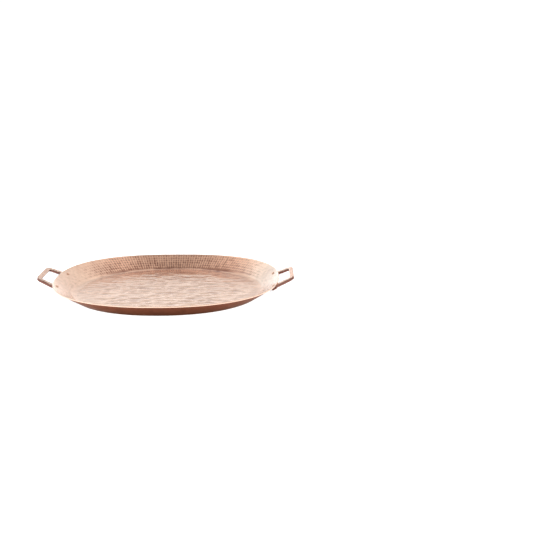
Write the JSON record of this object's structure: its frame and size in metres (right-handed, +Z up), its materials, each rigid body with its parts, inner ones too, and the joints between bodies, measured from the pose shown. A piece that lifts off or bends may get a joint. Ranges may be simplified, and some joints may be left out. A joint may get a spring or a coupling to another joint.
{
  "type": "oval hammered serving tray with handles",
  "caption": "Oval hammered copper serving tray with a flat floor, a flared wall and a riveted bar handle at each end.",
  "frame": {"origin": "middle of the underside, on the surface that the tray stands on", "axes": "+X along the tray from the left handle to the right one, +Y to the back, +Z up"},
  "size_m": [0.7188, 0.4758, 0.0573],
  "materials": {
    "copper_body": "hammered copper, polished and lightly brushed inside, satin and darker outside",
    "copper_handle": "hammered copper bar, satin with darkened hollows",
    "copper_rivet": "peened copper, rubbed bright on top with a dark ring at its edge"
  },
  "bodies": {
    "root": {"tray_body": "copper_body", "handle_left": "copper_handle", "handle_right": "copper_handle", "rivet_left_front": "copper_rivet", "rivet_left_back": "copper_rivet", "rivet_right_front": "copper_rivet", "rivet_right_back": "copper_rivet"}
  },
  "joints": []
}
